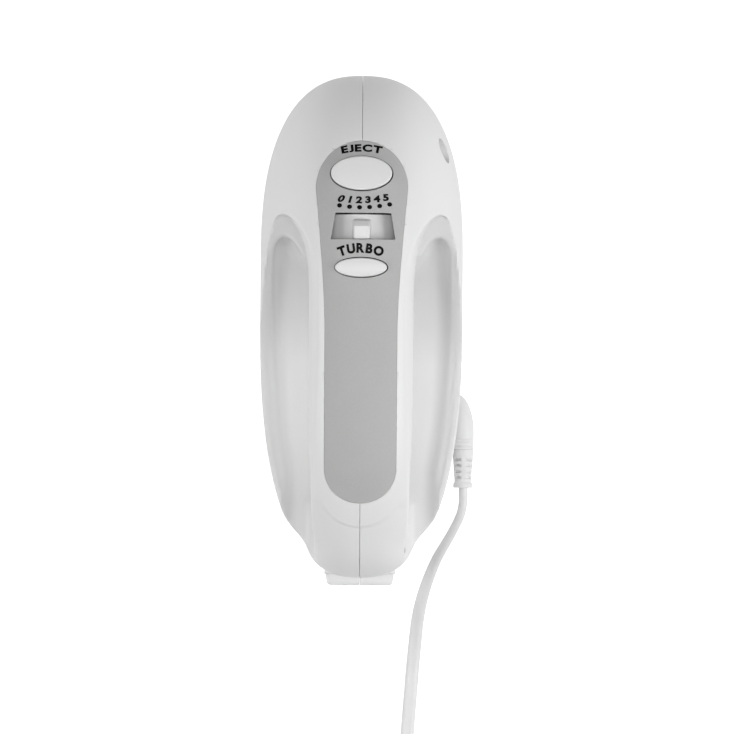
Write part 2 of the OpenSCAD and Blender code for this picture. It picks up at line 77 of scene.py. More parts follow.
# The cord's size and route, as in part.scad
BOSS_END = -44.4
CORD_EXIT = (40.5, -56, 33)
CORD_W = 5.4
CORD_T = 3.4
ROUTE = (
    (40.5, -60, 33), (40.5, -65, 33), (39.6, -70, 32.4), (37, -76, 30.4), (33.8, -82, 27.5),
    (30.6, -88, 23.5), (27.8, -95, 19), (25.6, -102, 14.5), (24, -109, 10.5), (23, -116, 7),
    (22.3, -124, 4), (21.6, -132, 2.3), (21, -140, 1.7), (20.4, -148, 1.7), (19.8, -156, 1.7),
    (19.3, -164, 1.8), (19.1, -172, 2), (19, -180, 2.2), (19, -187, 2.2),
)
COIL_X = -16.1
COIL_Y = -202.0
COIL_R = 29.7
LAYER_Z = (2.2, 5.9)
PLUG_X = -38.0
PLUG_Y = -237.1


# ---------------------------------------------------------------- camera, light, floor


def make_camera():
    data = bpy.data.cameras.new("camera")
    data.lens = 166
    data.sensor_width = 36
    camera = bpy.data.objects.new("camera", data)
    camera.location = (0.0021, -0.0124, 1.365)
    camera.rotation_euler = (0, 0, math.radians(0.4))
    bpy.context.scene.collection.objects.link(camera)
    bpy.context.scene.camera = camera


def area_light(name, place, aim, width, height, power):
    data = bpy.data.lights.new(name, "AREA")
    data.shape = "RECTANGLE"
    data.size = width
    data.size_y = height
    data.energy = power
    light = bpy.data.objects.new(name, data)
    light.location = place
    direction = np.array(place) - np.array(aim)
    light.rotation_euler = (
        math.acos(direction[2] / np.linalg.norm(direction)),
        0,
        math.atan2(direction[1], direction[0]) + math.pi / 2,
    )
    bpy.context.scene.collection.objects.link(light)


def make_world():
    """Soft surroundings: brightest at the sides, the right one more, and darkest behind"""
    base_level = 0.27
    side_gain = 0.5
    tilts = (0.12, 0.14, 0.08)
    least = 0.02
    seen_level = 0.92
    world = bpy.data.worlds.new("studio")
    world.use_nodes = True
    tree = world.node_tree
    place = tree.nodes.new("ShaderNodeTexCoord")
    parts = tree.nodes.new("ShaderNodeSeparateXYZ")
    tree.links.new(place.outputs["Generated"], parts.inputs["Vector"])

    def combined(operation, first, second):
        made = tree.nodes.new("ShaderNodeMath")
        made.operation = operation
        for socket, value in zip(made.inputs, (first, second)):
            if isinstance(value, float):
                socket.default_value = value
            else:
                tree.links.new(value, socket)
        return made.outputs[0]

    x, y, z = (parts.outputs[k] for k in "XYZ")
    spread = combined("SUBTRACT", combined("MULTIPLY", x, x), combined("MULTIPLY", y, y))
    level = combined("ADD", combined("MULTIPLY", spread, side_gain), base_level)
    for part, tilt in zip((x, y, z), tilts):
        level = combined("ADD", level, combined("MULTIPLY", part, tilt))
    level = combined("MAXIMUM", level, least)
    seen = tree.nodes.new("ShaderNodeLightPath").outputs["Is Camera Ray"]
    level = combined("MAXIMUM", level, combined("MULTIPLY", seen, seen_level))
    background = tree.nodes["Background"]
    background.inputs["Color"].default_value = (1, 1, 1, 1)
    tree.links.new(level, background.inputs["Strength"])
    bpy.context.scene.world = world


def make_lights():
    aim = (0, 0, 0.07)
    area_light("softbox_right", (0.88, -0.25, 0.78), aim, 0.7, 0.5, 5.3)
    area_light("softbox_left", (-0.88, -0.25, 0.78), aim, 0.7, 0.5, 4.0)
    area_light("softbox_top", (0.0, -0.02, 1.9), aim, 0.8, 0.7, 6.9)
    make_world()
    bpy.context.scene.view_settings.view_transform = "Standard"


def make_floor():
    """Pale floor, which shows plain white like a light table but lights the object weakly"""
    size = 3.0
    mesh = bpy.data.meshes.new("floor")
    corners = [(-size, -size, 0), (size, -size, 0), (size, size, 0), (-size, size, 0)]
    mesh.from_pydata(corners, [], [(0, 1, 2, 3)])
    floor = bpy.data.objects.new("floor", mesh)
    floor.location.z = -0.0002
    bpy.context.scene.collection.objects.link(floor)
    finish = plastic("floor_white", (0.5,) * 3, 0.8, grain=0.02, scale=40, bump=0.0, glow=1.0)
    tree = finish.node_tree
    path = tree.nodes.new("ShaderNodeLightPath")
    glow = node_with(tree, "ShaderNodeMapRange", To_Min=0.42, To_Max=0.95)
    tree.links.new(path.outputs["Is Camera Ray"], glow.inputs["Value"])
    tree.links.new(glow.outputs["Result"], tree.nodes["Principled BSDF"].inputs["Emission Strength"])
    mesh.materials.append(finish)


# ---------------------------------------------------------------- materials


def node_with(tree, kind, **sockets):
    made = tree.nodes.new(kind)
    for name, value in sockets.items():
        made.inputs[name.replace("_", " ")].default_value = value
    return made


def plastic(name, colour, roughness, grain=0.03, scale=900.0, bump=0.03, metal=0.0, glow=0.0,
            stretch=(1, 1, 1), shine=0.5):
    """A surface with fine grain: its colour, roughness and relief vary with noise
    in the object's own space"""
    material = bpy.data.materials.new(name)
    material.use_nodes = True
    tree = material.node_tree
    shader = tree.nodes["Principled BSDF"]
    shader.inputs["Metallic"].default_value = metal
    shader.inputs["Specular IOR Level"].default_value = shine
    place = tree.nodes.new("ShaderNodeTexCoord")
    mapping = tree.nodes.new("ShaderNodeMapping")
    mapping.inputs["Scale"].default_value = stretch
    tree.links.new(place.outputs["Object"], mapping.inputs["Vector"])
    fine = node_with(tree, "ShaderNodeTexNoise", Scale=scale, Detail=3.0, Roughness=0.6)
    broad = node_with(tree, "ShaderNodeTexNoise", Scale=scale / 22, Detail=2.0, Roughness=0.5)
    for noise in (fine, broad):
        tree.links.new(mapping.outputs["Vector"], noise.inputs["Vector"])
    mixed = tree.nodes.new("ShaderNodeMix")
    mixed.data_type = "FLOAT"
    mixed.inputs[0].default_value = 0.4
    tree.links.new(fine.outputs["Fac"], mixed.inputs[2])
    tree.links.new(broad.outputs["Fac"], mixed.inputs[3])
    ramp = tree.nodes.new("ShaderNodeValToRGB")
    low, high = ramp.color_ramp.elements
    low.position, high.position = 0.3, 0.7
    low.color = (*[c * (1 - grain) for c in colour], 1)
    high.color = (*[min(1, c * (1 + grain)) for c in colour], 1)
    tree.links.new(mixed.outputs[0], ramp.inputs["Fac"])
    tree.links.new(ramp.outputs["Color"], shader.inputs["Base Color"])
    rough = node_with(tree, "ShaderNodeMapRange", From_Min=0.3, From_Max=0.7)
    rough.inputs["To Min"].default_value = max(0.02, roughness * (1 - 3 * grain))
    rough.inputs["To Max"].default_value = min(1, roughness * (1 + 3 * grain))
    tree.links.new(broad.outputs["Fac"], rough.inputs["Value"])
    tree.links.new(rough.outputs["Result"], shader.inputs["Roughness"])
    if bump:
        relief = node_with(tree, "ShaderNodeBump", Strength=bump, Distance=0.0001)
        tree.links.new(fine.outputs["Fac"], relief.inputs["Height"])
        tree.links.new(relief.outputs["Normal"], shader.inputs["Normal"])
    if glow:
        shader.inputs["Emission Color"].default_value = (1, 1, 1, 1)
        shader.inputs["Emission Strength"].default_value = glow
    return material


def make_finishes():
    return {
        "white_housing": plastic("housing_white", (0.80, 0.80, 0.80), 0.42, 0.012, 1500, 0.06),
        "grey_insert": plastic("insert_grey", (0.46, 0.46, 0.46), 0.62, 0.05, 1700, 0.22),
        "white_button": plastic("button_white", (0.78, 0.78, 0.78), 0.36, 0.01, 1200, 0.04),
        "selector_white": plastic("selector_white", (0.74, 0.74, 0.74), 0.30, 0.01, 1200, 0.03),
        "white_flexible": plastic("flexible_white", (0.80, 0.80, 0.80), 0.50, 0.015, 1100, 0.08),
        "ink": plastic("ink_black", (0.004,) * 3, 0.6, 0.2, 2500, 0.1, shine=0.08),
        "zinc_steel": plastic("zinc_plated", (0.62, 0.62, 0.64), 0.32, 0.06, 500, 0.05, metal=1.0),
        "ground_steel": plastic("ground_steel", (0.56, 0.56, 0.58), 0.25, 0.05, 500, 0.08, metal=1.0,
                                stretch=(1, 12, 1)),
        "spring_steel": plastic("spring_steel", (0.33, 0.33, 0.35), 0.3, 0.05, 900, 0.05, metal=1.0),
        "lamination_steel": plastic("lamination_steel", (0.2, 0.2, 0.21), 0.45, 0.12, 1600, 0.3,
                                    metal=1.0, stretch=(0.05, 1, 0.05)),
        "cast_frame": plastic("glass_filled", (0.62, 0.61, 0.58), 0.55, 0.05, 700, 0.15),
        "black_plastic": plastic("black_moulding", (0.022, 0.022, 0.024), 0.45, 0.1, 800, 0.1),
        "gear_plastic": plastic("acetal", (0.72, 0.69, 0.58), 0.38, 0.03, 600, 0.05),
        "bronze": plastic("sintered_bronze", (0.42, 0.25, 0.10), 0.48, 0.12, 1800, 0.3, metal=1.0),
        "brass": plastic("stamped_brass", (0.58, 0.40, 0.16), 0.3, 0.05, 600, 0.06, metal=1.0),
        "copper_wire": plastic("enamelled_wire", (0.45, 0.16, 0.05), 0.3, 0.15, 1400, 0.5, metal=1.0,
                               stretch=(1, 0.1, 1)),
        "copper_bar": plastic("turned_copper", (0.52, 0.24, 0.12), 0.28, 0.06, 900, 0.15, metal=1.0,
                              stretch=(0.2, 4, 0.2)),
        "carbon": plastic("pressed_carbon", (0.015, 0.015, 0.016), 0.6, 0.2, 1500, 0.2),
        "board_green": plastic("solder_mask", (0.02, 0.12, 0.05), 0.3, 0.1, 400, 0.05),
        "capacitor_yellow": plastic("potting_yellow", (0.6, 0.42, 0.04), 0.4, 0.05, 500, 0.05),
    }


def dress_nodes(finishes):
    """Every CAD node takes the finish of its material slot"""
    slots = {row["node"]: row["material_slot"] for row in frame["record"]["subparts"]}
    for name, thing in frame["nodes"].items():
        thing.data.materials.clear()
        thing.data.materials.append(finishes[slots[name]])


# ---------------------------------------------------------------- field helpers
# A field is negative inside its solid and about the distance to the surface, in millimetres


def smooth_max(a, b, radius):
    mix = np.clip(0.5 + 0.5 * (a - b) / radius, 0, 1)
    return b + (a - b) * mix + radius * mix * (1 - mix)


def smooth_min(a, b, radius):
    return -smooth_max(-a, -b, radius)


def step_up(value, start, end):
    t = np.clip((value - start) / (end - start), 0, 1)
    return t * t * (3 - 2 * t)


def power_arc(t, n, m):
    return np.clip(1 - np.clip(t, 0, None) ** n, 1e-9, 1) ** (1 / m)


def slope_of(function, y):
    reach = 0.02
    return (function(y + reach) - function(y - reach)) / (2 * reach)


def oval_field(x, y, half_x, half_y):
    radius = np.hypot(x / half_x, y / half_y) + 1e-9
    slope = np.hypot(x / half_x**2, y / half_y**2) / radius + 1e-9
    return (radius - 1) / slope


def box_field(x, y, z, low, high, radius):
    """A box with rounded edges"""
    p = [x, y, z]
    out = [
        np.abs(p[k] - (low[k] + high[k]) / 2) - (high[k] - low[k]) / 2 + radius for k in range(3)
    ]
    most = np.maximum(np.maximum(out[0], out[1]), out[2])
    beyond = np.sqrt(sum(np.maximum(o, 0) ** 2 for o in out))
    return beyond + np.minimum(most, 0) - radius


# ---------------------------------------------------------------- body shape


def half_width(y):
    front = power_arc((y - 29) / 70.05, 2.5, 2.5)
    rear = power_arc((5 - y) / 98.05, 2.5, 2.5)
    waisted = HALF_W * np.minimum(front, rear) - 2.6 * np.exp(-(((y + 79.5) / 6) ** 2))
    return np.maximum(waisted, 0.009)


def rise_to_top(y):
    front = power_arc((y - CROWN_Y) / NOSE_REACH, 2.6, 2.2)
    rear = power_arc((CROWN_Y - y) / TAIL_REACH, 3.2, 2.4)
    return (CROWN_Z - WIDEST_Z) * np.minimum(front, rear)


def drop_to_base(y):
    front = power_arc((y - 55) / 44.05, 3.5, 2.4)
    rear = power_arc((-60 - y) / 33.05, 4, 2.4)
    return (WIDEST_Z + 2) * np.minimum(front, rear)


def blank(x, y, z):
    """The rounded block that the body is cut from"""
    rise = z - WIDEST_Z
    up = rise >= 0
    width = half_width(y)
    waist = np.where(up, 1.0, 1 + 0.06 * rise / WIDEST_Z)
    height = np.where(up, rise_to_top(y), drop_to_base(y))
    n = np.where(up, 2.4, 4.0)
    m = np.where(up, 2.0, 5.0)
    across = np.maximum(np.abs(x), 1e-6)
    along = np.maximum(np.abs(rise), 1e-6)
    a = (across / (width * waist)) ** n
    b = (along / height) ** m
    height_slope = np.where(up, slope_of(rise_to_top, y), slope_of(drop_to_base, y))
    gx = n * a / across
    gy = n * a * slope_of(half_width, y) / width + m * b * height_slope / height
    gz = m * b / along
    return (a + b - 1) / np.sqrt(gx**2 + gy**2 + gz**2 + 1e-12)


def crown_height(x, y):
    """Height of the blank's top surface"""
    share = np.clip(1 - np.abs(x / half_width(y)) ** 2.4, 0, 1)
    return WIDEST_Z + rise_to_top(y) * np.sqrt(share)


def skin(x, y, z):
    """The blank with the fine step behind the insert's rear end and a flat base"""
    behind = np.hypot(x, y + 56.1) - 15.2
    fade = step_up(-y, 60.5, 66)
    step = 0.8 * step_up(behind, 0, 0.8) * (1 - step_up(behind, 1.5, 14)) * fade
    above = step_up(z, 90, 100)
    return smooth_max(blank(x, y, z) + step * above, -z, 2.5)


def gap_top(y):
    return 93 + 6 * np.clip((y - GAP_REAR) / (GAP_FRONT - GAP_REAR), 0, 1)


def underside(y):
    """Height of the handle's underside, which curves down at both ends of the finger gap"""
    end = np.maximum(np.maximum(GAP_REAR - y, y - GAP_FRONT) + GAP_CORNER, 0)
    corner = GAP_CORNER - np.sqrt(np.clip(GAP_CORNER**2 - end**2, 0, None))
    return gap_top(y) - corner, end


def handle_side(y, z):
    """Half width of the handle at each height"""
    plain = 19.7 - 1.5 * step_up(-y, 20, 78)
    above = np.clip(z - 110, 0, 17) / 15
    below = np.clip(110 - z, 0, 16) / 16
    under, end = underside(y)
    radius = 7.5 * np.clip(1 - end / GAP_CORNER, 0, 1) + 1e-3
    inset = np.clip(under + radius - z, 0, radius)
    rounding = radius - np.sqrt(np.clip(radius**2 - inset**2, 0, None))
    return plain - 2.3 * above**2 - 0.9 * below**2 - rounding


def scoop_plan(x, y, inner, middle, outer, inner_end, outer_end):
    """Outline of a scoop beside the handle: straight sides, then a rounded front end.
    Each end gives where its side starts to curve and how far ahead of that it reaches"""
    beyond = x > middle
    side = np.where(beyond, outer - middle, middle - inner)
    start = np.where(beyond, outer_end[0], inner_end[0])
    reach = np.where(beyond, outer_end[1], inner_end[1])
    across = np.abs(x - middle) / side
    ahead = np.maximum(y - start, 0) / reach
    radius = np.sqrt(across**2 + ahead**2) + 1e-6
    slope = np.sqrt((across / side) ** 2 + (ahead / reach) ** 2) / radius
    return (radius - 1) / np.maximum(slope, 1 / FAR)


def rim_height(y):
    ahead = (y + 6 + np.sqrt((y + 6) ** 2 + 80)) / 2
    front = 0.286 * ahead**1.25
    rear = 0.9 * np.clip(-76 - y, 0, None) ** 1.9
    return RIM_Z + front + rear


def shoulder_height(y):
    """Height inside the outer crease"""
    return rim_height(y) - 0.5 - 0.8 * step_up(y, 20, 40)


def deck_height(y):
    return DECK_Z + 28.0 * step_up(y, -12, 52)


def cut_away(x, y, z):
    """What is open above the rim, beside the handle and under it. It joins a soft band behind
    the rim, a shoulder inside the outer crease, the deep scoop and the finger gap"""
    across = np.abs(x)
    edge = handle_side(y, z)
    width = half_width(y)
    sweep = (rim_height(y) - z) / np.sqrt(1 + slope_of(rim_height, y) ** 2)
    outer = scoop_plan(across, y, edge, 29.6, 29.6 + FAR, (20, 24.0), (20, 24.0))
    band = smooth_max(sweep, outer, 4.0)
    crease = np.maximum(width - 2.0, 30.1)
    start = edge + 1.6 * step_up(y, 8, 28)
    inside = scoop_plan(across, y, start, 29.6, crease, (26, 18), (26, 18))
    inside = np.maximum(inside, across - crease)
    lower = (shoulder_height(y) - z) / np.sqrt(1 + slope_of(shoulder_height, y) ** 2)
    lower = lower + 0.25 * step_up(across, width - 3.6, width - 3.2)
    shoulder = smooth_max(lower, inside, 1.0)
    rim = np.maximum(width - RIM_W, 29.5)
    draft = 2.0 * np.clip(100 - z, 0, 36) / 36 * step_up(y, 8, 34)
    inner = scoop_plan(across, y, edge, 29.0, rim, (10, 26.4), (28, 8.4)) + draft
    inner = np.maximum(inner, across - rim)
    floor_z = deck_height(y)
    deep = smooth_max(inner, floor_z - z, 6.0)
    gap = finger_gap(y, z, floor_z)
    gap = np.maximum(gap, across - 19)
    return np.minimum(smooth_min(np.minimum(band, shoulder), deep, 1.4), gap)


def finger_gap(y, z, floor_z):
    lengthways = np.maximum(GAP_REAR - y, y - GAP_FRONT) + GAP_CORNER
    upright = np.maximum(floor_z - z, z - gap_top(y)) + GAP_CORNER
    gap = np.hypot(np.maximum(lengthways, 0), np.maximum(upright, 0)) - GAP_CORNER
    return gap + np.minimum(np.maximum(lengthways, upright), 0)


def body_form(x, y, z):
    return smooth_max(skin(x, y, z), -cut_away(x, y, z), 0.9)


def heel(x, y, z):
    side = (np.abs(x) - 14.5 + 0.144 * (-85 - y)) / 1.01
    plan = smooth_max(side, HEEL_Y - y, 1.6)
    plan = np.maximum(plan, y + 80)
    return smooth_max(plan, np.maximum(6 - z, z - 46), 1.2)


# ---------------------------------------------------------------- openings


def insert_outline(x, y):
    front = oval_field(x, y - 53, 16.85, 17.7)
    rear = oval_field(x, y + 50, 13.2, 12.6)
    middle = np.abs(x) - 13.2 - 3.65 * np.clip((y - 2) / 51, 0, 1) ** 1.4
    return np.where(y > 53, front, np.where(y < -50, rear, middle))


def window_outline(x, y, grow):
    across = np.abs(x - WINDOW_SHIFT)
    along = y - WINDOW_Y
    side = (across - 11.0 + 0.165 * along) / 1.013
    return smooth_max(side, np.abs(along) - 4.85, 0.5) - grow


def control_openings(x, y):
    eject = oval_field(x + 0.15, y - EJECT_Y, *EJECT_HOLE)
    turbo = oval_field(x + 0.1, y - TURBO_Y, *TURBO_HOLE)
    return np.minimum(np.minimum(eject, turbo), window_outline(x, y, 0))


def screw_recesses(x, y, z, side):
    """The screws' holes, and on the right side the recess that each head sits in"""
    found = FAR
    for at_y, at_z in SCREWS:
        radial = np.hypot(y - at_y, z - at_z)
        found = np.minimum(found, np.maximum(radial - 1.7, np.abs(x) - 15))
        if side > 0:
            found = np.minimum(found, np.maximum(radial - 4.6, 8 - x))
    return found


def base_openings(x, y, z):
    slots = FAR
    for i in range(5):
        slot = box_field(np.abs(x), y, z, (7, -60 + 6 * i, -5), (21, -57.6 + 6 * i, WALL + 1.2), 1.1)
        slots = np.minimum(slots, slot)
    socket = np.hypot(np.abs(x) - 18, y - 58) - 8.4
    return np.minimum(slots, np.maximum(socket, z - 11))


def inner_ribs(x, y, z):
    """Screw bosses and the ribs that cradle the motor and the gearbox"""
    ribs = FAR
    for at_y, at_z in SCREWS:
        ribs = np.minimum(ribs, np.hypot(y - at_y, z - at_z) - 6.2)
    for at_y in (-24, -6):
        ribs = np.minimum(ribs, box_field(x, y, z, (-20, at_y, 1), (20, at_y + 2.5, 11), 0.4))
    for at_y in (31, 78):
        ribs = np.minimum(ribs, box_field(x, y, z, (-12, at_y, 1), (12, at_y + 3, 10), 0.4))
    return ribs


def housing_half(side):
    def field(x, y, z):
        form = body_form(x, y, z)
        hollow = smooth_max(form + WALL, np.maximum(y - 96.0, -90.0 - y), 2.0)
        shell = np.maximum(smooth_min(form, heel(x, y, z), 0.8), -hollow)
        shell = np.minimum(shell, np.maximum(inner_ribs(x, y, z), form + 1.0))
        outline = insert_outline(x, y)
        recess = np.maximum(np.maximum(outline - 0.03, 100 - z), -(blank(x, y, z) + INSERT_T))
        holes = np.maximum(control_openings(x, y) - 0.9, 105 - z)
        open_parts = np.minimum(np.minimum(recess, holes), screw_recesses(x, y, z, side))
        open_parts = np.minimum(open_parts, base_openings(x, y, z))
        swing = np.maximum(np.hypot(x, z - SELECTOR_Z) - 21.1, np.abs(y - WINDOW_Y) - 6.4)
        open_parts = np.minimum(open_parts, np.maximum(swing, form + 1.2))
        if side > 0:
            outlet = np.maximum(np.hypot(x - 40.2, z - MOTOR_Z) - 3.2, np.abs(y + 36) - 8)
            open_parts = np.minimum(open_parts, outlet)
        shell = np.maximum(shell, -open_parts)
        return smooth_max(shell, 0.07 - side * x, 0.3)

    return field


def insert_solid(x, y, z):
    surface = blank(x, y, z)
    plate = smooth_max(surface, -(surface + INSERT_T - 0.05), 0.2)
    plate = smooth_max(plate, insert_outline(x, y), 0.15)
    plate = smooth_max(plate, -control_openings(x, y), 0.18)
    return np.maximum(plate, 95 - z)


def selector_solid(x, y, z):
    """Curved shield, knob, spokes, hub and pivot of the speed selector"""
    down = z - SELECTOR_Z
    radius = np.hypot(x, down)
    turn = np.degrees(np.arctan2(np.abs(x), down))
    front = WINDOW_Y - 5.8
    along = np.maximum(front - y, y - front - SHIELD_DEPTH)
    shield = np.maximum(radius - SHIELD_R, 19.0 - radius)
    shield = smooth_max(shield, np.maximum(along, y - WINDOW_Y - 4.45), 0.3)
    shield = smooth_max(shield, (turn - 50) * 0.35, 0.3)
    spoke = np.maximum(np.maximum(radius - 19.8, 3 - radius), (turn - 12) * radius * 0.0175)
    spoke = np.maximum(spoke, np.abs(np.abs(y - WINDOW_Y) - 3.8) - 1)
    hub = np.maximum(radius - 4, along)
    pin = np.maximum(radius - 2, np.maximum(front - 2 - y, y - front - 16.6))
    ramp = (down - 25.0 + 0.8 * np.clip(y - 39.0, 0, None)) / 1.2
    knob = smooth_max(np.abs(x) - 3.3 + 0.05 * (down - 20), np.abs(y - 37.85) - 3.55, 0.9)
    knob = smooth_max(knob, np.maximum(ramp, radius - KNOB_R), 0.8)
    knob = np.maximum(knob, 19.6 - radius)
    body = np.minimum(smooth_min(shield, knob, 0.5), np.minimum(spoke, hub))
    return np.minimum(body, pin)


def outlet_solid(x, y, z):
    """The boss that the cord leaves through: it swells out of the flank and carries three rings"""
    along = -22.6 - y
    radius = 4.5 * np.sqrt(np.clip(1 - np.clip(1 - along / 15, 0, 1) ** 2, 1e-4, 1))
    boss = np.hypot(x - 40.0 + 0.6 * (4.5 - radius), z - MOTOR_Z) - radius
    for at_y in (-40.6, -41.7, -43.3):
        boss = boss + 0.3 * np.clip(1 - np.abs(y - at_y) / 0.4, 0, 1)
    boss = smooth_max(boss, np.maximum(-along, BOSS_END - y), 0.4)
    plug = box_field(x, y, z, (32.6, -44, MOTOR_Z - 3), (39, -24.5, MOTOR_Z + 3), 0.5)
    bore = np.maximum(np.hypot(x - 40.5, z - MOTOR_Z) - 3.05, y + 38)
    return np.maximum(np.minimum(boss, plug), -bore)


def relief_solid(x, y, z):
    """Ribbed strain relief: four rows of slots on each side of a rib, and a collar at its end"""
    across = x - 40.3
    height = z - MOTOR_Z
    along = BOSS_END - y
    taper = 4.2 - 0.075 * np.clip(along, 0, 13)
    taper = taper + 0.55 * step_up(along, 12.6, 14.0) - 0.25 * step_up(-along, -1.2, 0.4)
    round_part = np.hypot(across, height) - taper
    round_part = smooth_max(round_part, np.maximum(-along, along - 15.2), 0.3)
    slots = FAR
    for i in range(4):
        row = np.abs(along - 3.9 - 2.35 * i - 0.12 * np.abs(across)) - 0.5
        row = np.maximum(row, 0.8 - np.abs(across))
        row = np.maximum(row, 0.8 - np.abs(height))
        row = np.maximum(row, 2.3 - np.hypot(across, height))
        slots = np.minimum(slots, row)
    stem = np.maximum(np.hypot(across, height) - 3.0, np.maximum(y - 38, along - 1))
    return np.minimum(smooth_max(round_part, -slots, 0.12), stem)


def plug_solid(x, y, z):
    back = PLUG_X - x
    width = 3.6 + 8.4 * step_up(back, 4, 18)
    thin = 1.6 * (1 - step_up(back, 0, 16))
    body = smooth_max(np.abs(y - PLUG_Y) - width, np.abs(z - 6) - 5.9 + thin, 2.4)
    body = smooth_max(body, np.maximum(-back, back - 31), 1.0)
    for i in range(4):
        groove = np.hypot(back - 19.5 - 2.4 * i, np.abs(y - PLUG_Y) - 12.3)
        body = smooth_max(body, 0.8 - groove, 0.3)
    for i in range(3):
        ring = 0.5 - np.abs(back - 3.0 - 2.4 * i)
        body = body + 0.45 * np.clip(ring / 0.5, 0, 1)
    blade = np.maximum(np.abs(np.abs(y - PLUG_Y) - 6.35) - 0.76, np.abs(z - 6) - 3.22)
    return np.maximum(body, -np.maximum(blade, 24 - back))


# ---------------------------------------------------------------- field to mesh


def lattice(low, high, step):
    return np.linspace(low, high, max(3, int(math.ceil((high - low) / step)) + 1))


def gradient(field, points):
    reach = 0.02
    columns = []
    for axis in range(3):
        moved = np.zeros(3)
        moved[axis] = reach
        ahead = field(*(points + moved).T)
        behind = field(*(points - moved).T)
        columns.append((ahead - behind) / (2 * reach))
    found = np.stack(columns, 1)
    return found / np.maximum(np.linalg.norm(found, axis=1, keepdims=True), 1e-9)


def edge_crossings(field, values, axes, axis):
    """The grid edges along one axis that cross the surface: their index, place and direction"""
    size = values.shape[axis]
    inside = values < 0
    first = np.take(inside, range(size - 1), axis)
    second = np.take(inside, range(1, size), axis)
    index = np.argwhere(first != second)
    after = index.copy()
    after[:, axis] += 1
    near = values[tuple(index.T)]
    distant = values[tuple(after.T)]
    points = np.stack([axes[k][index[:, k]] for k in range(3)], 1).astype(float)
    low = points[:, axis].copy()
    high = axes[axis][after[:, axis]].astype(float)
    for _ in range(5):
        points[:, axis] = low + (high - low) * np.clip(near / (near - distant), 0.08, 0.92)
        found = field(*points.T)
        same = (found < 0) == (near < 0)
        low = np.where(same, points[:, axis], low)
        near = np.where(same, found, near)
        high = np.where(same, high, points[:, axis])
        distant = np.where(same, distant, found)
    points[:, axis] = low + (high - low) * near / (near - distant)
    return index, points, first[tuple(index.T)]


def surface_mesh(field, xs, ys, zs):
    """Closed mesh of a field's surface by dual contouring, which keeps sharp edges sharp"""
    axes = (xs, ys, zs)
    shape = (len(xs), len(ys), len(zs))
    values = field(xs[:, None, None], ys[None, :, None], zs[None, None, :])
    values = np.array(np.broadcast_to(values, shape))
    for axis in range(3):
        view = np.moveaxis(values, axis, 0)
        view[0] = np.maximum(view[0], 1e-3)
        view[-1] = np.maximum(view[-1], 1e-3)
    owners, places, normals, quads = [], [], [], []
    for axis in range(3):
        index, points, outward = edge_crossings(field, values, axes, axis)
        normal = gradient(field, points)
        corners = []
        for dv, dw in ((-1, -1), (0, -1), (0, 0), (-1, 0)):
            cell = index.copy()
            cell[:, (axis + 1) % 3] += dv
            cell[:, (axis + 2) % 3] += dw
            corners.append(np.ravel_multi_index(tuple(cell.T), shape))
            owners.append(corners[-1])
            places.append(points)
            normals.append(normal)
        quad = np.stack(corners, 1)
        quads.append(np.where(outward[:, None], quad, quad[:, ::-1]))
    cells, owner = np.unique(np.concatenate(owners), return_inverse=True)
    vertices = settle(cells, owner, np.concatenate(places), np.concatenate(normals), axes, shape)
    return vertices, np.searchsorted(cells, np.concatenate(quads))


def settle(cells, owner, places, normals, axes, shape):
    """Each cell's vertex: the point nearest to all the tangent planes that cross it"""
    count = len(cells)

    def total(weights):
        return np.bincount(owner, weights, count)

    number = total(np.ones(len(owner)))
    mean = np.stack([total(places[:, k]) / number for k in range(3)], 1)
    offset = np.einsum("ij,ij->i", normals, places - mean[owner])
    matrix = np.zeros((count, 3, 3))
    right = np.zeros((count, 3))
    for i in range(3):
        right[:, i] = total(normals[:, i] * offset)
        for j in range(3):
            matrix[:, i, j] = total(normals[:, i] * normals[:, j])
        matrix[:, i, i] += 0.04 * number
    vertices = mean + np.linalg.solve(matrix, right[:, :, None])[:, :, 0]
    index = np.unravel_index(cells, shape)
    for k in range(3):
        low = axes[k][index[k]]
        high = axes[k][np.minimum(index[k] + 1, len(axes[k]) - 1)]
        vertices[:, k] = np.clip(vertices[:, k], low, high)
    return vertices


def add_piece(name, vertices, faces, finish, body, nodes, crease=32):
    """A mesh in the scene, given in millimetres, that rides on a body and replaces those nodes"""
    mesh = bpy.data.meshes.new(name)
    corners = faces.tolist() if isinstance(faces, np.ndarray) else faces
    mesh.from_pydata((np.asarray(vertices) * MM).tolist(), [], corners)
    mesh.polygons.foreach_set("use_smooth", [True] * len(mesh.polygons))
    mesh.set_sharp_from_angle(angle=math.radians(crease))
    mesh.materials.append(finish)
    piece = bpy.data.objects.new(name, mesh)
    bpy.context.scene.collection.objects.link(piece)
    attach(piece, body)
    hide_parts(*nodes)
    return piece


def add_solid(name, field, low, high, step, finish, body, nodes, crease=32):
    axes = [lattice(low[k], high[k], step) for k in range(3)]
    vertices, faces = surface_mesh(field, *axes)
    return add_piece(name, vertices, faces, finish, body, nodes, crease)


# ---------------------------------------------------------------- cord


def smooth_route(points, parts):
    """Points along a smooth curve through the given ones"""
    p = np.array(points, float)
    p = np.vstack([2 * p[0] - p[1], p, 2 * p[-1] - p[-2]])
    made = []
    for i in range(1, len(p) - 2):
        for k in range(parts):
            t = k / parts
            made.append(
                0.5 * (2 * p[i] + (p[i + 1] - p[i - 1]) * t
                       + (2 * p[i - 1] - 5 * p[i] + 4 * p[i + 1] - p[i + 2]) * t**2
                       + (3 * p[i] - p[i - 1] - 3 * p[i + 1] + p[i + 2]) * t**3)
            )
    made.append(p[-2])
    return np.array(made)


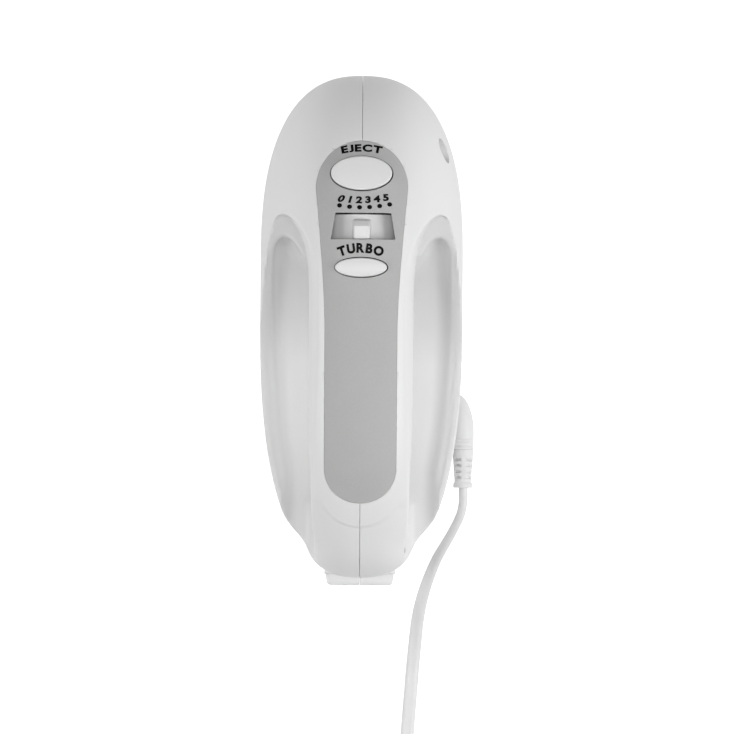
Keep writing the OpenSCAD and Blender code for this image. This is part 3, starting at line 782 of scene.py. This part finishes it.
def coil_points():
    """Three turns inwards on the floor, then up and outwards over them, clockwise from above"""
    made = []
    steps = 60
    jog = 0.85
    last = 5.25
    for i in range(int(last * steps) + 1):
        turns = i / steps
        layer = 0 if turns < 3 else 1
        whole = math.floor(turns + 1e-9) - 3 * layer
        part = turns - math.floor(turns + 1e-9)
        moved = whole + (0 if 2 < turns < 3 else float(step_up(part, jog, 1)))
        outward = 1 - moved if layer == 0 else moved - 1
        radius = COIL_R + CORD_W * outward
        lift = float(step_up(turns, 2.68, jog + 2)) if turns < 3 else 1.0
        angle = -2 * math.pi * turns
        made.append((
            COIL_X + radius * math.cos(angle),
            COIL_Y + radius * math.sin(angle),
            LAYER_Z[0] + (LAYER_Z[1] - LAYER_Z[0]) * lift,
        ))
    return np.array(made)


def cord_section():
    """Outline of the twin-core cord: two round cores side by side with a shallow groove between"""
    core = CORD_T / 2
    shift = CORD_W / 2 - core
    right = [
        (shift + core * math.cos(a), core * math.sin(a))
        for a in np.radians(np.linspace(-90, 90, 11))
    ]
    left = [(-x, -y) for x, y in right]
    return np.array(right + [(0, core - 0.3)] + left + [(0, -core + 0.3)])


def flat_cord(points, twists):
    """Rings of the cord's section along its path, turned about the path by the given angles"""
    section = cord_section()
    ahead = np.gradient(points, axis=0)
    ahead /= np.linalg.norm(ahead, axis=1, keepdims=True)
    level = np.stack([-ahead[:, 1], ahead[:, 0], 0 * ahead[:, 0]], 1)
    level /= np.linalg.norm(level, axis=1, keepdims=True)
    up = np.cross(ahead, level)
    wide = np.cos(twists)[:, None] * level + np.sin(twists)[:, None] * up
    thin = np.cross(ahead, wide)
    rings = (
        points[:, None]
        + section[None, :, 0, None] * wide[:, None]
        + section[None, :, 1, None] * thin[:, None]
    )
    n = len(section)
    faces = []
    for i in range(len(points) - 1):
        for j in range(n):
            k = (j + 1) % n
            faces.append((i * n + j, i * n + k, (i + 1) * n + k, (i + 1) * n + j))
    faces.append(tuple(range(n - 1, -1, -1)))
    faces.append(tuple((len(points) - 1) * n + j for j in range(n)))
    return rings.reshape(-1, 3), faces


def make_cord(finishes):
    free = smooth_route((CORD_EXIT,) + ROUTE, 3)
    straight = np.array([(19, y, 2.2) for y in (-190.5, -194.5, -198.5)])
    tail = np.array([(x, PLUG_Y, 5.95) for x in (-19.5, -23.5, -27.5, -31.5, -35.5, -40.5)])
    path = np.vstack([free, straight, coil_points(), tail])
    lengths = np.linalg.norm(np.diff(path, axis=0), axis=1)
    along = np.concatenate([[0], np.cumsum(lengths)])
    twists = math.pi / 2 * (1 - step_up(along, 12, 100))
    vertices, faces = flat_cord(path, twists)
    cord = add_piece(
        "mains_cord", vertices, faces, finishes["white_flexible"], "housing",
        ("cord", "cord_coil", "cord_tail"), 60,
    )
    plug = add_solid(
        "mains_plug", plug_solid, (PLUG_X - 32, PLUG_Y - 13.4, -0.5), (PLUG_X + 1, PLUG_Y + 13.4, 12.8),
        0.6, finishes["white_flexible"], "housing", ("plug_body",),
    )
    relief = add_solid(
        "ribbed_relief", relief_solid, (35.6, -61, 28), (45.4, -37, 38), 0.28,
        finishes["white_flexible"], "housing", ("strain_relief",),
    )
    tie = make_tie(finishes)


def make_tie(finishes):
    """A strap round the coil"""
    def field(x, y, z):
        radius = np.hypot(x - COIL_X, y - COIL_Y)
        turn = np.degrees(np.arctan2(y - COIL_Y, x - COIL_X))
        outer = smooth_max(np.abs(radius - COIL_R) - 8.55, np.abs(z - 4.2) - 4.15, 1.0)
        inner = smooth_max(np.abs(radius - COIL_R) - 8.15, np.abs(z - 4.1) - 3.68, 0.6)
        band = np.maximum(outer, -inner)
        return smooth_max(band, (np.abs(turn - 66) - 6) * 0.0175 * radius, 0.2)

    return add_solid(
        "coil_strap", field, (-12, -186, -0.4), (5, -162.5, 9), 0.35,
        finishes["white_flexible"], "housing", ("cord_tie",),
    )


# ---------------------------------------------------------------- controls and lettering


def oval_cap(half_size, profile, centre_y, tilt, base_z, top_z):
    """A button: an oval wall, then rings that step in to a slightly domed top.
    Each row of profile is (inset, drop)"""
    sides = 96
    shift = -0.2
    dome_height = 0.35
    half_x, half_y = half_size
    fall = math.tan(math.radians(tilt))
    turns = np.linspace(0, 2 * math.pi, sides, endpoint=False)
    rings = [(0.0, None)] + list(profile)
    vertices = []
    for inset, drop in rings:
        x = (half_x - inset) * np.cos(turns)
        y = (half_y - inset) * np.sin(turns)
        if drop is None:
            z = np.full(sides, base_z)
        else:
            z = top_z - drop - fall * y
        vertices.append(np.stack([x + shift, y + centre_y, z], 1))
    shrink = (0.75, 0.5, 0.25, 0.08)
    last_inset, last_drop = profile[-1]
    for share in shrink:
        x = (half_x - last_inset) * np.cos(turns) * share
        y = (half_y - last_inset) * np.sin(turns) * share
        z = top_z + dome_height * (1 - share**2) - last_drop - fall * y
        vertices.append(np.stack([x + shift, y + centre_y, z], 1))
    count = len(rings) + len(shrink)
    faces = []
    for i in range(count - 1):
        for j in range(sides):
            k = (j + 1) % sides
            faces.append((i * sides + j, i * sides + k, (i + 1) * sides + k, (i + 1) * sides + j))
    faces.append(tuple((count - 1) * sides + j for j in range(sides)))
    faces.append(tuple(range(sides - 1, -1, -1)))
    return np.concatenate(vertices), faces


CAP_PROFILE = ((0.0, 0.62), (0.05, 0.4), (0.22, 0.16), (0.45, 0.03), (0.7, 0.0))


def make_buttons(finishes):
    vertices, faces = oval_cap(EJECT_CAP, CAP_PROFILE, EJECT_Y + 0.06, 14, 112, 129.5)
    add_piece("eject_cap", vertices, faces, finishes["white_button"], "ejector", ("eject_button",),
             50)
    vertices, faces = oval_cap(TURBO_CAP, CAP_PROFILE, TURBO_Y, 0.5, 126.3, 132.7)
    add_piece("turbo_cap", vertices, faces, finishes["white_button"], "turbo", ("turbo_button",),
             50)


def character(name, text, height, stretch, slant=0.0):
    """Flat mesh of one printed character, that high, and its width"""
    thickness = 0.05 * MM
    capital_share = 0.69
    curve = bpy.data.curves.new(name, "FONT")
    curve.body = text
    curve.size = height / capital_share * MM
    curve.align_x = "CENTER"
    curve.align_y = "CENTER"
    curve.offset = 0.036 * height * MM
    curve.bevel_depth = 0.04 * height * MM
    curve.bevel_resolution = 1
    curve.extrude = thickness
    maker = bpy.data.objects.new(name + "_curve", curve)
    bpy.context.scene.collection.objects.link(maker)
    bpy.context.view_layer.update()
    evaluated = maker.evaluated_get(bpy.context.evaluated_depsgraph_get())
    mesh = bpy.data.meshes.new_from_object(evaluated)
    bpy.data.objects.remove(maker)
    mesh.name = name
    co = np.zeros(len(mesh.vertices) * 3)
    mesh.vertices.foreach_get("co", co)
    co = co.reshape(-1, 3)
    low = co.min(0)
    high = co.max(0)
    co[:, 0] = (co[:, 0] - (low[0] + high[0]) / 2) * stretch + slant * co[:, 1]
    co[:, 1] = (co[:, 1] - (low[1] + high[1]) / 2) * height * MM / (high[1] - low[1])
    co[:, 2] *= thickness / high[2]
    mesh.vertices.foreach_set("co", co.ravel())
    return mesh, (high[0] - low[0]) * stretch / MM


def lay_on_insert(mesh, x, y, turn):
    """Moves a flat mesh to its place and bends it to the insert's surface"""
    co = np.zeros(len(mesh.vertices) * 3)
    mesh.vertices.foreach_get("co", co)
    co = co.reshape(-1, 3) / MM
    a = math.radians(turn)
    px = x + co[:, 0] * math.cos(a) - co[:, 1] * math.sin(a)
    py = y + co[:, 0] * math.sin(a) + co[:, 1] * math.cos(a)
    pz = crown_height(px, py) + co[:, 2] + 0.03
    mesh.vertices.foreach_set("co", (np.stack([px, py, pz], 1) * MM).ravel())
    mesh.update()


def place_mark(name, mesh, finish):
    mesh.materials.clear()
    mesh.materials.append(finish)
    piece = bpy.data.objects.new(name, mesh)
    bpy.context.scene.collection.objects.link(piece)
    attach(piece, "housing")


def arched_word(word, height, span, centre_x, centre_y, radius, finish):
    """A word along an arc that bulges towards the nose, its letters evenly spaced"""
    gap = 0.13 * height
    plain = sum(letter_width(c, height) for c in word)
    stretch = (span - gap * (len(word) - 1)) / plain
    letters = [character(f"{word.lower()}_{i}", c, height, stretch) for i, c in enumerate(word)]
    start = -span / 2
    for mesh, width in letters:
        turn = -(start + width / 2) / radius
        start += width + gap
        x = centre_x - radius * math.sin(turn)
        y = centre_y - radius * (1 - math.cos(turn))
        lay_on_insert(mesh, x, y, math.degrees(turn))
        place_mark(mesh.name, mesh, finish)


def letter_width(text, height):
    mesh, width = character("measured", text, height, 1.0)
    bpy.data.meshes.remove(mesh)
    return width


def dot(name, x, y, finish):
    sides = 28
    half_x, half_y, half_z = 0.9, 0.82, 0.04
    turns = np.linspace(0, 2 * math.pi, sides, endpoint=False)
    ring = np.stack([half_x * np.cos(turns), half_y * np.sin(turns)], 1)
    low = np.column_stack([ring, np.full(sides, -half_z)])
    high = np.column_stack([ring, np.full(sides, half_z)])
    faces = [tuple(range(sides, 2 * sides)), tuple(range(sides - 1, -1, -1))]
    for j in range(sides):
        k = (j + 1) % sides
        faces.append((j, k, sides + k, sides + j))
    mesh = bpy.data.meshes.new(name)
    mesh.from_pydata((np.vstack([low, high]) * MM).tolist(), [], faces)
    lay_on_insert(mesh, x, y, 0)
    place_mark(name, mesh, finish)


def make_lettering(finishes):
    ink = finishes["ink"]
    arched_word("EJECT", 2.85, 15.2, -0.2, 68.0, 33, ink)
    arched_word("TURBO", 3.6, 17.0, -0.3, 31.0, 21, ink)
    for i in range(6):
        offset = i - 2.5
        dot(f"speed_dot_{i}", 1.0 + 3.66 * offset, 45.85 + 0.148 * (offset + 0.35) ** 2, ink)
        digit, _ = character(f"speed_{i}", str(i), 2.6, 1.15, max(0.0, 0.12 * (0.3 - offset)))
        lay_on_insert(digit, 0.6 + 3.26 * offset, 48.6 + 0.11 * (offset + 0.45) ** 2, 1.5 * offset)
        place_mark(digit.name, digit, ink)


# ---------------------------------------------------------------- the object


def seam_lattice(side):
    """Grid lines across the body, finer at the seam"""
    lines = np.concatenate([[-0.5, 0.2, 0.55], np.arange(1.1, 39.9, 0.8)])
    return lines if side > 0 else -lines[::-1]


def make_housing(finishes):
    ys = lattice(-100.2, 100.0, 0.8)
    zs = lattice(-0.8, 133.2, 0.8)
    for side, name in ((-1, "left"), (1, "right")):
        vertices, faces = surface_mesh(housing_half(side), seam_lattice(side), ys, zs)
        add_piece(
            f"shell_{name}", vertices, faces, finishes["white_housing"], "housing",
            (f"housing_{name}",),
        )


def make_small_solids(finishes):
    add_solid(
        "grey_inlay", insert_solid, (-17.3, -63.3, 112), (17.3, 71.4, 132.6), 0.45,
        finishes["grey_insert"], "housing", ("top_panel",),
    )
    add_solid(
        "selector_slide", selector_solid, (-17, 30.5, 101.5), (17, 51, 132.8), 0.36,
        finishes["selector_white"], "selector", ("speed_selector",),
    )
    add_solid(
        "cord_boss", outlet_solid, (32, -45, 28), (44.9, -22, 38), 0.3,
        finishes["white_housing"], "housing", ("cord_outlet",),
    )


make_camera()
finishes = make_finishes()
dress_nodes(finishes)
make_cord(finishes)
make_floor()
make_lights()
make_housing(finishes)
make_small_solids(finishes)
make_buttons(finishes)
make_lettering(finishes)
